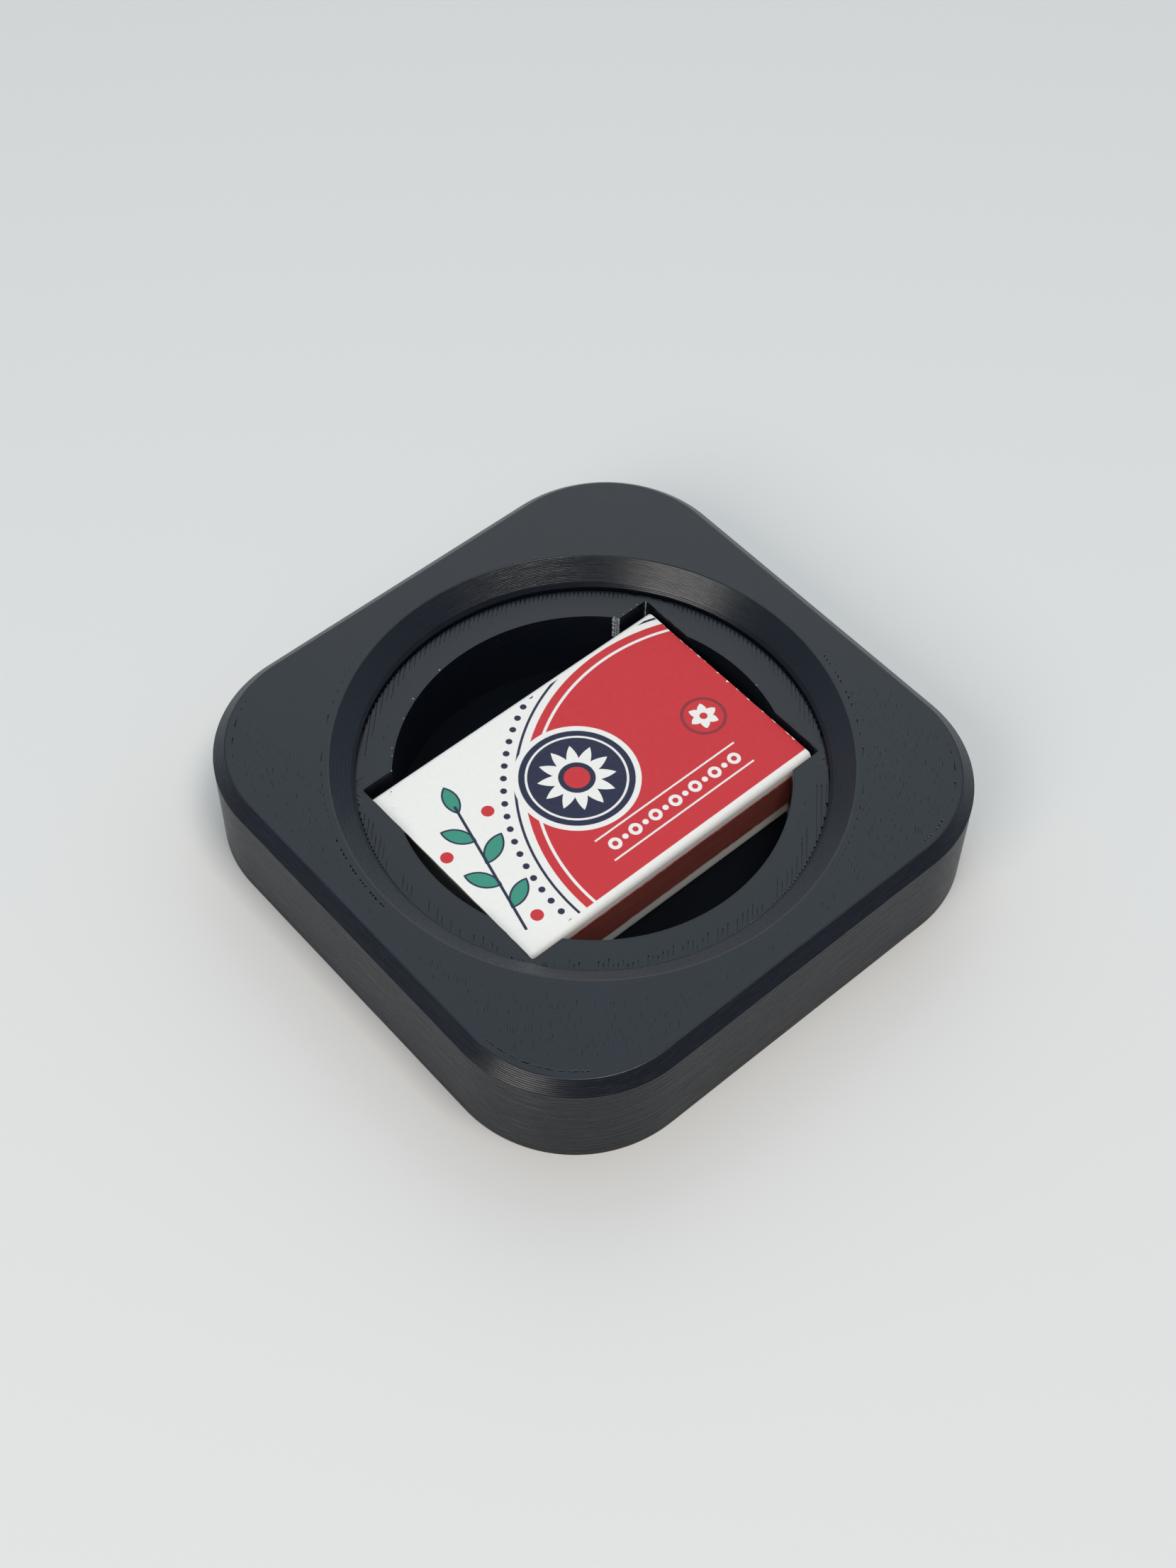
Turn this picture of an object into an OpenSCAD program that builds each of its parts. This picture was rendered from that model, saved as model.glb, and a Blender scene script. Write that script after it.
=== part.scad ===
// Matchbox holder: a square block with a round dish, a slot that takes a matchbox and finger room
// on both sides of the box. The matchbox lies in the slot, its drawer closed and full of matches.
// Z is up, the origin is under the middle of the block, X runs along the matchbox.

/* [Holder] */
// Side of the square block
holder_side = 88; // [82:0.5:100]
// Radius of the block's upright corners
holder_corner_r = 19.7; // [14:0.1:24]
// Height of the block
holder_h = 17.6; // [17:0.1:20]
// Width of the bevel round the top edge
bevel_w = 1.8; // [1:0.1:2.4]
// Height of the bevel round the top edge
bevel_h = 1.8; // [1:0.1:2.4]
// Thickness of the floor under the matchbox
floor_t = 1.2; // [1:0.1:1.6]

/* [Dish] */
// Radius of the dish at the top face
dish_top_r = 37.2; // [36:0.1:39]
// Radius of the dish where its sloping side ends
dish_low_r = 34.25; // [33.8:0.05:35.5]
// Depth of the ledge below the top face
ledge_depth = 3.9; // [3.4:0.1:4.4]
// Height of the upright wall between the slope and the ledge
dish_wall_h = 1.25; // [0.8:0.05:1.8]
// Width of the narrow groove round the ledge
seam_w = 0.4; // [0.3:0.05:0.6]
// Depth of the narrow groove round the ledge
seam_d = 0.8; // [0.4:0.1:1.2]

/* [Slot and finger pocket] */
// Radius of the round finger pocket
pocket_r = 28.6; // [27.6:0.1:30.5]
// Clear space beyond each end of the matchbox
slot_end_clear = 0.5; // [0.3:0.05:0.8]
// Clear space beside each long side of the matchbox
slot_side_clear = 0.85; // [0.4:0.05:1]
// Rounding of the slot's outer corners
slot_corner_r = 0.4; // [0.3:0.1:1]

/* [Matchbox sleeve] */
// Length of the matchbox
box_l = 53; // [51:0.1:54]
// Width of the matchbox over its striking strips
box_w = 35.5; // [34.5:0.1:36.2]
// Height of the matchbox
box_h = 11.5; // [11:0.1:12.2]
// How far the matchbox lies from the slot's middle, along its length
box_off_x = -0.1; // [-0.3:0.05:0.3]
// How far the matchbox lies from the slot's middle, across it
box_off_y = -0.25; // [-0.3:0.05:0.3]
// Thickness of the sleeve's card
card_t = 0.4; // [0.3:0.05:0.5]
// Inside radius of the sleeve's folds
fold_r = 0.3; // [0.1:0.05:0.6]
// Height of the lap glued inside the sleeve's far side
lap_h = 7.5; // [5:0.1:8.5]

/* [Striking strips] */
// Height of a striking strip
strike_h = 6.5; // [5:0.1:7]
// Distance of a striking strip from the box's underside
strike_low = 3.2; // [2.6:0.1:3.4]
// Thickness of a striking strip
strike_t = 0.15; // [0.1:0.01:0.2]

/* [Drawer] */
// How far the drawer's ends lie inside the sleeve
tray_inset = 0.5; // [0.3:0.05:0.8]
// Clear space between the drawer and the sleeve, at each side
tray_clear = 0.12; // [0.08:0.01:0.2]
// Thickness of the drawer's card
tray_t = 0.4; // [0.3:0.05:0.5]
// Clear space between the drawer's rim and the sleeve's top panel
tray_head = 0.35; // [0.2:0.05:0.6]

/* [Matches] */
// Side of a square matchstick
stick_w = 1.9; // [1.7:0.05:2]
// Free length that the matches leave in the drawer
match_room = 3.9; // [3:0.1:5]
// Radius of a match head
head_r = 1.42; // [1.38:0.01:1.45]
// Length of a match head
head_l = 3.8; // [3:0.1:5]
// Thickness of a match head beyond the stick's end
tip_cover = 0.9; // [0.6:0.05:1.2]
// Small gap left between a head and its neighbour or the drawer's floor
head_gap = 0.05; // [0.02:0.01:0.08]
// How far the matches are shaken out of line
shake = 0.6; // [0:0.1:0.8]

/* [Hidden] */
// Facets to a full turn in a preview
$fn = 48;
// How far a cut runs past the face that it goes through
cut_past = 1;
ledge_z = holder_h - ledge_depth;
slot_l = box_l + 2 * slot_end_clear;
slot_w = box_w + 2 * slot_side_clear;
sleeve_w = box_w - 2 * strike_t;
tray_low_y = -sleeve_w / 2 + card_t + tray_clear;
tray_high_y = sleeve_w / 2 - 2 * card_t - tray_clear;
tray_l = box_l - 2 * tray_inset;
inside_l = tray_l - 4 * tray_t;
tray_w = tray_high_y - tray_low_y;
tray_mid_y = (tray_high_y + tray_low_y) / 2;
tray_h = box_h - 2 * card_t - tray_head;
// The drawer's lower folds are a little rounder than the sleeve's, so that it slides along them
tray_fold_r = fold_r + tray_clear;
match_l = inside_l - match_room;
layer_pitch = 2 * head_r + head_gap;
// As many matches side by side as the drawer holds, spread evenly over its width
per_layer = floor((tray_w - 2 * tray_t - head_gap) / layer_pitch);
match_pitch = (tray_w - 2 * tray_t - 2 * head_r - 2 * head_gap) / (per_layer - 1);

// Rounded square block whose top edge is bevelled all round, corners and straight runs from one profile
module bevelled_block(side, r, h, inset, drop) {
  reach = side / 2 - r;
  for (x = [-reach, reach], y = [-reach, reach]) {
    translate([x, y, 0]) {
      rotate_extrude() { polygon([[0, 0], [r, 0], [r, h - drop], [r - inset, h], [0, h]]); }
    }
  }
  for (a = [0, 90]) {
    rotate([0, 0, a]) {
      rotate([90, 0, 90]) {
        translate([0, 0, -reach]) {
          linear_extrude(height = 2 * reach) {
            polygon([[-side / 2, 0], [side / 2, 0], [side / 2, h - drop], [side / 2 - inset, h],
                     [-side / 2 + inset, h], [-side / 2, h - drop]]);
          }
        }
      }
    }
  }
}

// Everything that is cut for the dish: the slope, the upright wall below it and the groove round the
// ledge. The slope runs on a little past the top face.
module dish_hole() {
  slope_h = ledge_depth - dish_wall_h;
  past_r = dish_top_r + (dish_top_r - dish_low_r) * cut_past / slope_h;
  rotate_extrude() {
    polygon([[0, ledge_z], [dish_low_r - seam_w, ledge_z], [dish_low_r - seam_w, ledge_z - seam_d],
             [dish_low_r, ledge_z - seam_d], [dish_low_r, ledge_z + dish_wall_h],
             [past_r, holder_h + cut_past], [0, holder_h + cut_past]]);
  }
}

module slot_hole() {
  reach_x = slot_l / 2 - slot_corner_r;
  reach_y = slot_w / 2 - slot_corner_r;
  h = holder_h;
  translate([-slot_l / 2, -reach_y, floor_t]) { cube([slot_l, 2 * reach_y, h]); }
  translate([-reach_x, -slot_w / 2, floor_t]) { cube([2 * reach_x, slot_w, h]); }
  for (x = [-reach_x, reach_x], y = [-reach_y, reach_y]) {
    translate([x, y, floor_t]) { cylinder(h = h, r = slot_corner_r); }
  }
}

module holder_body() {
  color([0.24, 0.26, 0.28]) {
    difference() {
      bevelled_block(holder_side, holder_corner_r, holder_h, bevel_w, bevel_h);
      dish_hole();
      translate([0, 0, floor_t]) { cylinder(h = holder_h, r = pocket_r); }
      slot_hole();
    }
  }
}

// Bar along X with four rounded long edges, standing on Z = 0
module folded_bar(l, w, h, r) {
  translate([-l / 2, -w / 2 + r, 0]) { cube([l, w - 2 * r, h]); }
  translate([-l / 2, -w / 2, r]) { cube([l, w, h - 2 * r]); }
  for (y = [-w / 2 + r, w / 2 - r], z = [r, h - r]) {
    translate([-l / 2, y, z]) { rotate([0, 90, 0]) { cylinder(h = l, r = r); } }
  }
}

// Everything of the matchbox is drawn round its own middle and set down here
module place_box() {
  translate([box_off_x, box_off_y, floor_t]) { children(); }
}

module box_sleeve() {
  color([0.92, 0.92, 0.9]) {
    place_box() {
      difference() {
        folded_bar(box_l, sleeve_w, box_h, fold_r + card_t);
        translate([0, 0, card_t]) {
          folded_bar(box_l + 2 * cut_past, sleeve_w - 2 * card_t, box_h - 2 * card_t, fold_r);
        }
      }
      // Lap glued inside the far side
      translate([-box_l / 2, sleeve_w / 2 - 2 * card_t, (box_h - lap_h) / 2]) {
        cube([box_l, card_t, lap_h]);
      }
    }
  }
}

module strike_strip() {
  translate([-box_l / 2, 0, strike_low]) { cube([box_l, strike_t, strike_h]); }
}

module striker_near() {
  color([0.3, 0.15, 0.13]) { place_box() { translate([0, -box_w / 2, 0]) { strike_strip(); } } }
}

module striker_far() {
  color([0.3, 0.15, 0.13]) {
    place_box() { translate([0, box_w / 2 - strike_t, 0]) { strike_strip(); } }
  }
}

// Outside of the drawer: rounded where floor and sides meet, and over the rims of its two ends
module tray_outside() {
  flat_h = tray_h - tray_t;
  translate([-tray_l / 2, -tray_w / 2 + tray_fold_r, 0]) {
    cube([tray_l, tray_w - 2 * tray_fold_r, flat_h]);
  }
  translate([-tray_l / 2, -tray_w / 2, tray_fold_r]) { cube([tray_l, tray_w, flat_h - tray_fold_r]); }
  for (y = [-tray_w / 2 + tray_fold_r, tray_w / 2 - tray_fold_r]) {
    translate([-tray_l / 2, y, tray_fold_r]) {
      rotate([0, 90, 0]) { cylinder(h = tray_l, r = tray_fold_r); }
    }
  }
  translate([-tray_l / 2 + tray_t, -tray_w / 2, tray_fold_r]) {
    cube([tray_l - 2 * tray_t, tray_w, tray_h - tray_fold_r]);
  }
  for (x = [-tray_l / 2 + tray_t, tray_l / 2 - tray_t]) {
    translate([x, -tray_w / 2, flat_h]) { rotate([-90, 0, 0]) { cylinder(h = tray_w, r = tray_t); } }
  }
}

// The drawer: floor, two sides of one card, and ends folded double
module box_tray() {
  color([0.85, 0.83, 0.78]) {
    place_box() {
      translate([0, tray_mid_y, card_t]) {
        difference() {
          tray_outside();
          translate([-inside_l / 2, -tray_w / 2 + tray_t, tray_t]) {
            cube([inside_l, tray_w - 2 * tray_t, tray_h]);
          }
        }
      }
    }
  }
}

// Where match number i of a layer lies: along X the matches are shaken a little, across they are spread
function slip(i, layer) = shake * sin(137 * (i + 1) + 71 * layer);
function across(i, layer) =
  tray_mid_y + (layer == 2 ? (i + 1 - per_layer / 2) : (i - (per_layer - 1) / 2)) * match_pitch;
function layer_z(layer) = card_t + tray_t + head_gap + head_r + layer * layer_pitch;
function count_in(layer) = layer == 2 ? per_layer - 1 : per_layer;

module place_match(i, layer) {
  place_box() {
    translate([match_l / 2 + slip(i, layer), across(i, layer), layer_z(layer)]) { children(); }
  }
}

// A bare stick of a match whose head ends at X = 0
module stick() {
  translate([-match_l, -stick_w / 2, -stick_w / 2]) { cube([match_l - tip_cover, stick_w, stick_w]); }
}

// A dipped head: round at the tip, tapering back onto the stick, hollow where the stick is
module head() {
  taper_l = 0.38 * head_l;
  neck_r = 0.82 * head_r;
  difference() {
    union() {
      translate([-head_r, 0, 0]) { sphere(r = head_r); }
      translate([-head_l + taper_l, 0, 0]) {
        rotate([0, 90, 0]) { cylinder(h = head_l - taper_l - head_r, r = head_r); }
      }
      translate([-head_l, 0, 0]) { rotate([0, 90, 0]) { cylinder(h = taper_l, r1 = neck_r, r2 = head_r); } }
    }
    stick();
  }
}

module stick_layer(layer) {
  color([0.86, 0.74, 0.55]) {
    for (i = [0 : count_in(layer) - 1]) { place_match(i, layer) { stick(); } }
  }
}

module head_layer(layer) {
  color([0.2, 0.52, 0.42]) {
    for (i = [0 : count_in(layer) - 1]) { place_match(i, layer) { head(); } }
  }
}

module match_sticks_low() { stick_layer(0); }
module match_heads_low() { head_layer(0); }
module match_sticks_mid() { stick_layer(1); }
module match_heads_mid() { head_layer(1); }
module match_sticks_top() { stick_layer(2); }
module match_heads_top() { head_layer(2); }

holder_body();
box_sleeve();
striker_near();
striker_far();
box_tray();
match_sticks_low();
match_heads_low();
match_sticks_mid();
match_heads_mid();
match_sticks_top();
match_heads_top();
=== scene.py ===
"""Matchbox holder: a printed plastic block with a matchbox lying in it. Sizes are in millimetres."""

import math
import random

import bmesh
import bpy
import numpy as np
from mathutils import Matrix, Vector


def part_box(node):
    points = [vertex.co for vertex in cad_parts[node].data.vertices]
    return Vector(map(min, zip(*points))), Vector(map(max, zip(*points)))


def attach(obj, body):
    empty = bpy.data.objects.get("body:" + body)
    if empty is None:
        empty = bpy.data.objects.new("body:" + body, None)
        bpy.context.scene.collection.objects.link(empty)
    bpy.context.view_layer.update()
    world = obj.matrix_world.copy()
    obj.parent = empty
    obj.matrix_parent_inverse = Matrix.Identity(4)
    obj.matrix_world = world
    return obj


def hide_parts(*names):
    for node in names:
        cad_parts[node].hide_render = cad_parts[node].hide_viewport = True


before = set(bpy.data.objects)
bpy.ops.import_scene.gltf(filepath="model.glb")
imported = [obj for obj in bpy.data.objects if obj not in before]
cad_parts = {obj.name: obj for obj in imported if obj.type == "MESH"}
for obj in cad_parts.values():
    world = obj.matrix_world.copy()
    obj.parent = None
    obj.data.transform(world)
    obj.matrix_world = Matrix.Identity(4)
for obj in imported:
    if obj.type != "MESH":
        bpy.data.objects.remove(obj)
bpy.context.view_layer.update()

MM = 0.001
rng = random.Random(7)


def extent(box):
    """The middle and the half size of a solid's box, in millimetres."""
    low, high = box
    middle = [(a + b) / 2 / MM for a, b in zip(low, high)]
    half = [(b - a) / 2 / MM for a, b in zip(low, high)]
    return middle, half


# Sizes of the holder, as in the solids
HOLDER_HALF, _, HOLDER_HALF_H = extent(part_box("holder_body"))[1]
HOLDER_H = 2 * HOLDER_HALF_H
CORNER_R = 19.7
BEVEL_W = 1.8
BEVEL_H = 1.8
DISH_TOP_R = 37.2
DISH_LOW_R = 34.25
DISH_WALL_H = 1.25
LEDGE_DEPTH = 3.9
LEDGE_Z = HOLDER_H - LEDGE_DEPTH
DISH_LOW_Z = LEDGE_Z + DISH_WALL_H
POCKET_R = 28.6
SLOT_HALF_L = 27.0
SLOT_HALF_W = 18.6
SLOT_CORNER_R = 0.4
FLOOR_T = 1.2

# The lip and the groove at the foot of the dish, drawn finer than in the solids
LIP_W = 0.46
LIP_H = 0.6
LIP_FOOT_R = DISH_LOW_R - LIP_W
SEAM_GAP = 0.14
SEAM_D = 0.6
SEAM_BACK = 0.03
SEAM_DROP = 0.05
LEDGE_RIM_R = LIP_FOOT_R - SEAM_GAP

# How the walls were printed. The profile gives shares of a layer's height and of its groove's depth
LAYER_H = 0.245
BEVEL_LAYER_H = 0.2
SLOPE_LAYER_H = 0.16
LIP_LAYER_H = 0.2
LAYER_PROFILE = ((0.0, 1.0), (0.1, 0.56), (0.26, 0.19), (0.5, 0.0), (0.74, 0.19), (0.9, 0.56))
GROOVE = 0.045
BEVEL_GROOVE = 0.014
SLOPE_GROOVE = 0.02
SLOPE_GROOVE_SWING = 0.013
DEEPEST_AT = math.radians(228)
POCKET_GROOVE = 0.012
WAVER = 0.009
WAVES_ROUND = (7, 17)
ANY_TURN = (0.0, 6.3)

# How the flat faces were printed: outlines, and straight lines between them
LINE_W = 0.42
RASTER_W = 0.4
LEDGE_RASTER_W = 0.33
BEAD_D = 0.3
BED_DRAFT = 0.02
BEAD_END = 0.14
BEAD_END_DROP = 0.1
CUT_END = 0.12
TUCKED = 0.12
LONG_STRETCH = 0.5
CLOSE_BY = 0.1
TOP_RINGS = 2
TOP_RING_RELIEF = 0.005
TOP_LINE_RELIEF = 0.004
TOP_LEVELS = (-0.004, 0.0)
TOP_REACH = 64
TOP_LAST_LINE = 62
LEDGE_RINGS = 4
LEDGE_RING_RELIEF = 0.003
LEDGE_LINE_RELIEF = 0.006
LEDGE_LEVELS = (-0.005, 0.0)
LEDGE_REACH = 36
RUN_STEP = 0.04
SHORTEST_RUN = 0.5
TABLE_POINTS = 2881
DIAGONAL = 1 / math.sqrt(2)

# How far the bed of the ledge and its outlines stay within its rim, where the slot nearly meets it
BED_FOOT_CLEAR = 0.03
BED_TOP_CLEAR = 0.05
RING_CLEAR = 0.02

# Stretches in degrees where the straight lines of the top end short of the dish's rim and of the edge
DISH_PITS = ((161, 182), (328, 349))
EDGE_PITS = ((212, 229), (301, 307))
WHOLE_EVERY = 4
END_UNDER = (0.34, 0.42)
END_SHORT = (-0.02, 0.12)

# Dark dashes beside the straight lines of the top: the first one's start, and their length, depth and gap
DASH_START = (0.6, 5.0)
DASH_L = (0.3, 1.3)
DASH_D = (0.012, 0.05)
DASH_GAP = (0.8, 6.0)
UNDASHED_L = 2.6
NEAR_X = -0.75 * HOLDER_HALF
NEAR_Y = -0.35 * HOLDER_HALF
NEAR_REACH = 1.12 * HOLDER_HALF

# Dark dashes of the ledge, on the camera's side of it and on the other side
NEAR_DASH_GAP = (0.3, 0.9)
NEAR_DASH_L = (0.6, 1.7)
NEAR_DASH_D = (0.025, 0.07)
NEAR_DASH_SHARE = 0.7
FAR_DASH_GAP = 0.05
FAR_DASH_END = (1.1, 1.8)
FAR_DASH_D = (0.05, 0.1)
LEDGE_UNDER = 0.3
UNCUT_L = 0.6
SHORTEST_CUT = 0.4

# Pale lumps: scars down one pocket edge and one corner of the slot, whose pale colour is partly a painted
# highlight for their glints, and crumbs on the ledge
LUMP_ROWS = 3
LUMP_SIDES = 7
LUMP_SPREAD = (0.7, 1.2)
LUMP_FLATNESS = 0.7
EDGE_SCARS = 18
EDGE_SCAR_TURNS = (0.35, 1.1, 1.85)
EDGE_SCAR_R = (0.15, 0.27)
CORNER_SCARS = 20
CORNER_SCAR_IN = 0.12
CORNER_SCAR_R = (0.11, 0.15)
CRUMB_TURNS = (100, 112, 121, 131, 134, 141, 147, 152, 352)
CRUMB_R = (0.07, 0.15)
FAR_CRUMBS_X = (22.6, 24.1, 25.4)
FAR_CRUMB_R = 0.1

# Materials of the holder's faces, and of the sleeve's, by number
WALL, POCKET_FLOOR, SLOPE = range(3)
CARD, PRINT, INSIDE = range(3)

# Sizes of the card sleeve. Its folds are drawn softer than in the solids
BOX_MID, (BOX_HALF_L, BOX_HALF_W, BOX_HALF_H) = extent(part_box("box_sleeve"))
CARD_T = 0.4
FOLD_R = 0.95
LAP_H = 7.5
LAP_BEVEL = 0.12
LAP_SHORT = 0.1
LAP_SUNK = 0.02
TOP_CROWN = 0.12
SIDE_CROWN = 0.05
CUT_ROUND = 0.07
CUT_BACK = 0.05
RAGGED = 0.03
RAGGED_L = 0.5
END_STRIP = 0.4
FOLD_STEP = 15

# The sleeve's panels: where the fold before each one starts, in degrees, its number of parts, and its name
PANELS = ((0, 30, "top"), (90, 12, "near"), (180, 30, "bottom"), (270, 12, "far"))

# The camera stands where the photograph was taken from
CAM_AZIMUTH = -42.061
CAM_ELEVATION = 54.023
CAM_ROLL = 1.11
CAM_DISTANCE = 337.533
CAM_AIM = (0.0, 0.0, 17.573)
CAM_ASIDE = (-0.682, -4.244)
CAM_FOCAL_PX = 3368.72
PHOTO_LONG_PX = 2212
SENSOR = 36.0

# Colours, in linear light
WHITE = (0.84, 0.82, 0.78)
RED = (0.57, 0.023, 0.03)
NAVY = (0.010, 0.013, 0.045)
GREEN = (0.035, 0.27, 0.185)
DEEP_RED = (0.25, 0.02, 0.03)
CARD_INSIDE = (0.36, 0.34, 0.31)
# Grey card of the tray, drawn darker than plain card as painted shade for the sleeve's dark mouth
TRAY_CARD_AND_SHADE = (0.33, 0.31, 0.28)
STRIKER_BROWN = (0.24, 0.051, 0.04)
MATCH_WOOD = (0.72, 0.55, 0.36)
MATCH_GREEN = (0.05, 0.27, 0.2)
PLASTIC = (0.004, 0.0065, 0.011)
# Pale scars and crumbs. On the scars this colour is partly a painted highlight for glints
SCAR_AND_GLINT = (0.30, 0.33, 0.36)
DUST = (0.22, 0.23, 0.24)
TABLE = (0.725, 0.715, 0.695)
BACKDROP = (0.83, 0.84, 0.83)


class Build:
    """Collects points in millimetres, faces, and the number of each face's material."""

    def __init__(self):
        self.points = []
        self.faces = []
        self.marks = []

    def face(self, corners, mark):
        self.faces.append(tuple(corners))
        self.marks.append(mark)

    def rows(self, rows, mark=0, closed=True, ring=False):
        """Quads between neighbouring rows. closed joins the ends of a row, ring the last row to the first."""
        base = len(self.points)
        count = len(rows[0])
        for row in rows:
            self.points.extend(row)
        spans = len(rows) if ring else len(rows) - 1
        for i in range(spans):
            low = base + i * count
            high = base + (i + 1) % len(rows) * count
            for j in range(count if closed else count - 1):
                k = (j + 1) % count
                value = mark(i, j) if callable(mark) else mark
                self.face((low + j, low + k, high + k, high + j), value)
        return base

    def capped(self, rows, mark=0, end_mark=None):
        """A closed tube of rows with a flat face at both ends. The last one can have its own mark."""
        base = self.rows(rows, mark)
        count = len(rows[0])
        end = base + (len(rows) - 1) * count
        start_mark = mark(0, 0) if callable(mark) else mark
        self.face(range(base + count - 1, base - 1, -1), start_mark)
        self.face(range(end, end + count), start_mark if end_mark is None else end_mark)

    def piece(self, name, materials, sharp=45.0):
        """The object made of these faces, smooth but for edges sharper than some degrees."""
        mesh = bpy.data.meshes.new(name)
        points = (np.array(self.points, float) * MM).tolist()
        mesh.from_pydata(points, [], self.faces)
        for made in materials:
            mesh.materials.append(made)
        mesh.polygons.foreach_set("material_index", self.marks)
        turner = bmesh.new()
        turner.from_mesh(mesh)
        bmesh.ops.recalc_face_normals(turner, faces=turner.faces)
        turner.to_mesh(mesh)
        turner.free()
        mesh.polygons.foreach_set("use_smooth", [True] * len(mesh.polygons))
        mesh.set_sharp_from_angle(angle=math.radians(sharp))
        obj = bpy.data.objects.new(name, mesh)
        bpy.context.scene.collection.objects.link(obj)
        return obj


# Materials

class Field:
    """A number that varies over a surface, worked out by math nodes."""

    def __init__(self, tree, socket):
        self.tree = tree
        self.socket = socket

    def math(self, operation, other=None, third=None, clamp=False):
        node = self.tree.nodes.new("ShaderNodeMath")
        node.operation = operation
        node.use_clamp = clamp
        self.tree.links.new(self.socket, node.inputs[0])
        for slot, value in ((1, other), (2, third)):
            if isinstance(value, Field):
                self.tree.links.new(value.socket, node.inputs[slot])
            elif value is not None:
                node.inputs[slot].default_value = value
        return Field(self.tree, node.outputs[0])

    def __add__(self, other):
        return self.math("ADD", other)

    def __sub__(self, other):
        return self.math("SUBTRACT", other)

    def __mul__(self, other):
        return self.math("MULTIPLY", other)

    def least(self, other):
        return self.math("MINIMUM", other)

    def most(self, other):
        return self.math("MAXIMUM", other)

    def size(self):
        return self.math("ABSOLUTE")

    def long_side(self, other):
        """The long side of a right triangle with these two as its short sides."""
        return (self * self + other * other).math("SQRT")

    def inside(self, soft):
        """1 where the distance is below zero, 0 where it is above, with an edge soft wide."""
        return self.math("MULTIPLY_ADD", -1.0 / soft, 0.5, clamp=True)


def material(name, color, roughness, specular=0.5):
    """A material with its tree and its Principled shader."""
    made = bpy.data.materials.new(name)
    made.use_nodes = True
    shader = made.node_tree.nodes["Principled BSDF"]
    shader.inputs["Base Color"].default_value = (*color, 1.0)
    shader.inputs["Roughness"].default_value = roughness
    shader.inputs["Specular IOR Level"].default_value = specular
    return made, made.node_tree, shader


def coordinates(tree):
    """The surface's own place in the object's frame, in millimetres, as a vector socket."""
    place = tree.nodes.new("ShaderNodeTexCoord")
    scale = tree.nodes.new("ShaderNodeVectorMath")
    scale.operation = "SCALE"
    scale.inputs["Scale"].default_value = 1.0 / MM
    tree.links.new(place.outputs["Object"], scale.inputs[0])
    return scale.outputs["Vector"]


def xyz(tree, vector):
    """The three parts of a vector socket, as fields."""
    node = tree.nodes.new("ShaderNodeSeparateXYZ")
    tree.links.new(vector, node.inputs[0])
    return [Field(tree, node.outputs[i]) for i in range(3)]


def stretched(tree, vector, scale, turn=0.0):
    """The place turned about Z and scaled, for patterns that run along a direction."""
    node = tree.nodes.new("ShaderNodeMapping")
    node.inputs["Rotation"].default_value = (0.0, 0.0, math.radians(turn))
    node.inputs["Scale"].default_value = scale
    tree.links.new(vector, node.inputs["Vector"])
    return node.outputs["Vector"]


def noise(tree, vector, scale, detail=3.0, rough=0.5):
    """A soft random field that runs from 0 to 1 and averages a half."""
    node = tree.nodes.new("ShaderNodeTexNoise")
    node.inputs["Scale"].default_value = scale
    node.inputs["Detail"].default_value = detail
    node.inputs["Roughness"].default_value = rough
    tree.links.new(vector, node.inputs["Vector"])
    return Field(tree, node.outputs["Fac"])


def ranged(field, low, high, to_low, to_high):
    """A field moved from one range to another."""
    node = field.tree.nodes.new("ShaderNodeMapRange")
    for name, value in (("From Min", low), ("From Max", high), ("To Min", to_low), ("To Max", to_high)):
        node.inputs[name].default_value = value
    field.tree.links.new(field.socket, node.inputs["Value"])
    return Field(field.tree, node.outputs["Result"])


def specks(tree, vector, scale, radius, share):
    """1 on small round specks, of which only a share of the cells has one."""
    cells = tree.nodes.new("ShaderNodeTexVoronoi")
    cells.inputs["Scale"].default_value = scale
    tree.links.new(vector, cells.inputs["Vector"])
    near = Field(tree, cells.outputs["Distance"]) - radius
    split = tree.nodes.new("ShaderNodeSeparateColor")
    tree.links.new(cells.outputs["Color"], split.inputs[0])
    chosen = Field(tree, split.outputs[0]).math("LESS_THAN", share)
    return near.inside(radius * 0.5) * chosen


def mixed(tree, blend, under, over, amount):
    """Two colours mixed. Each of the three is a socket, or a plain value."""
    node = tree.nodes.new("ShaderNodeMix")
    node.data_type = "RGBA"
    node.blend_type = blend
    for socket, value in ((node.inputs[0], amount), (node.inputs[6], under), (node.inputs[7], over)):
        if isinstance(value, tuple):
            socket.default_value = (*value, 1.0)
        elif isinstance(value, float):
            socket.default_value = value
        else:
            tree.links.new(value, socket)
    return node.outputs[2]


def painted(tree, under, over, mask):
    """The colour over where mask is 1."""
    return mixed(tree, "MIX", under, over, mask.socket)


def shaded(tree, color, field, low, high):
    """A colour made lighter and darker by a field that runs from 0 to 1."""
    return mixed(tree, "MULTIPLY", color, ranged(field, 0.0, 1.0, low, high).socket, 1.0)


def bumped(tree, shader, height, depth):
    """Bump whose height field, from 0 to 1, stands for a relief of depth millimetres."""
    node = tree.nodes.new("ShaderNodeBump")
    node.inputs["Strength"].default_value = 1.0
    node.inputs["Distance"].default_value = depth * MM
    tree.links.new(height.socket, node.inputs["Height"])
    tree.links.new(node.outputs["Normal"], shader.inputs["Normal"])


def linked(tree, shader, name, value):
    """Links a field or a socket to one of the shader's sockets."""
    tree.links.new(value.socket if isinstance(value, Field) else value, shader.inputs[name])


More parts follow.
